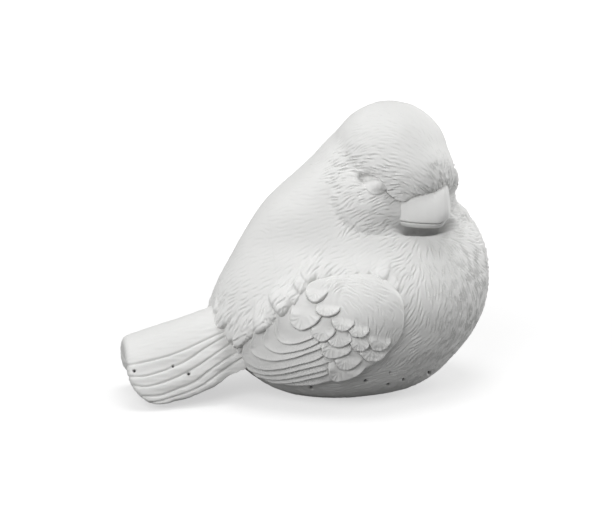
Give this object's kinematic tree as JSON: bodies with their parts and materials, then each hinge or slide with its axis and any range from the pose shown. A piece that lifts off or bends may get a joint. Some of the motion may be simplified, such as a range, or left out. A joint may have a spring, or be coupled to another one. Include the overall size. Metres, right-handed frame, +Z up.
{
  "type": "bird statue",
  "caption": "Small concrete garden statue of a round songbird resting on its belly, head turned to its right, with folded feathered wings and a short fanned tail.",
  "frame": {"origin": "centre of the flat base that the bird stands on", "axes": "+X from the tail towards the breast, +Y towards the bird's left, +Z up"},
  "size_m": [0.1524, 0.1024, 0.1197],
  "materials": {
    "body_concrete": "matt pale concrete",
    "head_concrete": "matt pale concrete",
    "beak_concrete": "matt pale concrete, smooth",
    "eye_concrete": "matt pale concrete, smooth",
    "wing_concrete": "matt pale concrete",
    "tail_concrete": "matt pale concrete"
  },
  "bodies": {
    "root": {"body": "body_concrete", "head": "head_concrete", "beak_upper": "beak_concrete", "beak_lower": "beak_concrete", "right_eye": "eye_concrete", "left_eye": "eye_concrete", "right_wing": "wing_concrete", "left_wing": "wing_concrete", "tail": "tail_concrete"}
  },
  "joints": []
}
